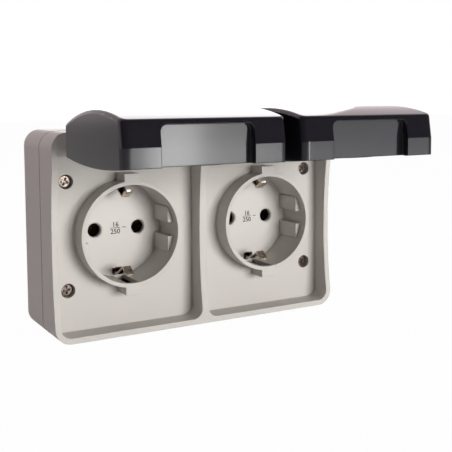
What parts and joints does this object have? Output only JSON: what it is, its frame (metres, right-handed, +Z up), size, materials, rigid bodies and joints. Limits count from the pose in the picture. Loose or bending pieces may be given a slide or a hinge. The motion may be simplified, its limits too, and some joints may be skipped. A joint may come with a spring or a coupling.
{
  "type": "weatherproof socket",
  "caption": "Wide surface-mounted weatherproof outlet with round earthed sockets side by side, each in a framed bay under its own hinged dark lid, standing open.",
  "frame": {"origin": "middle of the wall face, at the height of the two socket centres", "axes": "+X right along the pair of sockets, +Y into the wall, +Z up; the sockets face -Y"},
  "size_m": [0.128, 0.103, 0.0914],
  "materials": {
    "grey_casing": "fine satin, ultraviolet-proof moulding",
    "seal_rubber": "matte",
    "contact_brass": "bright",
    "black_carrier": "matte",
    "plated_steel": "bright zinc or nickel plating",
    "grey_insert": "satin",
    "black_lid": "glossy"
  },
  "bodies": {
    "casing": {"back_box": "grey_casing", "box_gasket": "seal_rubber", "front_frame": "grey_casing", "cable_grommet": "seal_rubber", "line_bar": "contact_brass", "neutral_bar": "contact_brass", "earth_bar": "contact_brass", "terminal_block": "black_carrier", "clamp_washer_line": "plated_steel", "terminal_screw_line": "plated_steel", "clamp_washer_neutral": "plated_steel", "terminal_screw_neutral": "plated_steel", "clamp_washer_earth": "plated_steel", "terminal_screw_earth": "plated_steel", "cover_screw_lower_left": "plated_steel", "cover_screw_upper_left": "plated_steel", "cover_screw_lower_right": "plated_steel", "cover_screw_upper_right": "plated_steel", "socket_insert_left": "grey_insert", "contact_base_left": "black_carrier", "line_sleeve_left": "contact_brass", "neutral_sleeve_left": "contact_brass", "earth_spring_left": "plated_steel", "hinge_pin_left": "plated_steel", "socket_insert_right": "grey_insert", "contact_base_right": "black_carrier", "line_sleeve_right": "contact_brass", "neutral_sleeve_right": "contact_brass", "earth_spring_right": "plated_steel", "hinge_pin_right": "plated_steel"},
    "left_lid": {"lid_left": "black_lid", "lid_seal_left": "seal_rubber"},
    "right_lid": {"lid_right": "black_lid", "lid_seal_right": "seal_rubber"}
  },
  "joints": [
    {"name": "left_lid_hinge", "type": "hinge", "parent": "casing", "child": "left_lid", "pos_m": [-0.03305, -0.04, 0.0365], "axis": [1, 0, 0], "range_deg": [0, 90]},
    {"name": "right_lid_hinge", "type": "hinge", "parent": "casing", "child": "right_lid", "pos_m": [0.03305, -0.04, 0.0365], "axis": [1, 0, 0], "range_deg": [0, 90]}
  ]
}
